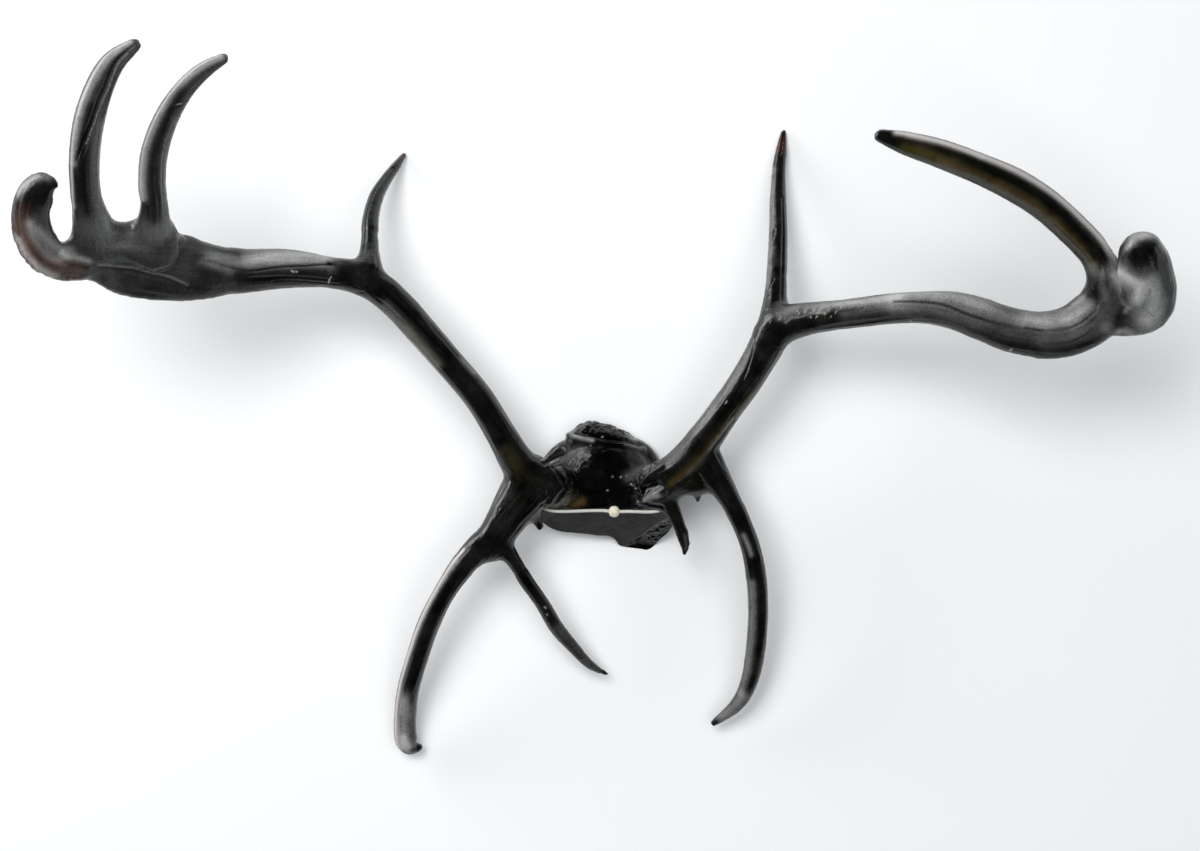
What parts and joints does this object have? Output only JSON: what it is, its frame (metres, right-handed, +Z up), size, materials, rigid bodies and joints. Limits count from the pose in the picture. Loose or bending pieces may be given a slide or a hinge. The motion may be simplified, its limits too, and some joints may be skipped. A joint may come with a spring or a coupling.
{
  "type": "reindeer antler rack on skull cap",
  "caption": "Pair of swept branching reindeer antlers grown on a sawn skull cap, stained glossy black, with a string and bead across the brow.",
  "frame": {"origin": "middle of the sawn base of the skull cap, on the surface the rack lies on", "axes": "+X to the right-hand antler as seen in the picture, +Y to the back of the skull, +Z up and away from the surface"},
  "size_m": [1.069, 0.6806, 0.3409],
  "materials": {
    "antler_stain": "antler painted or stained glossy black-brown, with worn grey and brown patches",
    "skull_stain": "skull bone with the same stain, matt on the sawn front face",
    "white_string": "twisted off-white string",
    "bead_cream": "small off-white bead"
  },
  "bodies": {
    "root": {"skull_cap": "skull_stain", "left_lower_beam": "antler_stain", "left_bez_stem": "antler_stain", "left_bez_outer_tine": "antler_stain", "left_bez_inner_tine": "antler_stain", "left_rear_tine": "antler_stain", "left_upper_beam": "antler_stain", "left_palm": "antler_stain", "left_inner_top_tine": "antler_stain", "left_outer_top_tine": "antler_stain", "left_end_tine": "antler_stain", "right_lower_beam": "antler_stain", "right_brow_tine": "antler_stain", "right_bez_tine": "antler_stain", "right_rear_tine": "antler_stain", "right_upper_beam": "antler_stain", "right_palm": "antler_stain", "right_top_tine": "antler_stain", "right_end_tine": "antler_stain", "string": "white_string", "string_bead": "bead_cream"}
  },
  "joints": []
}
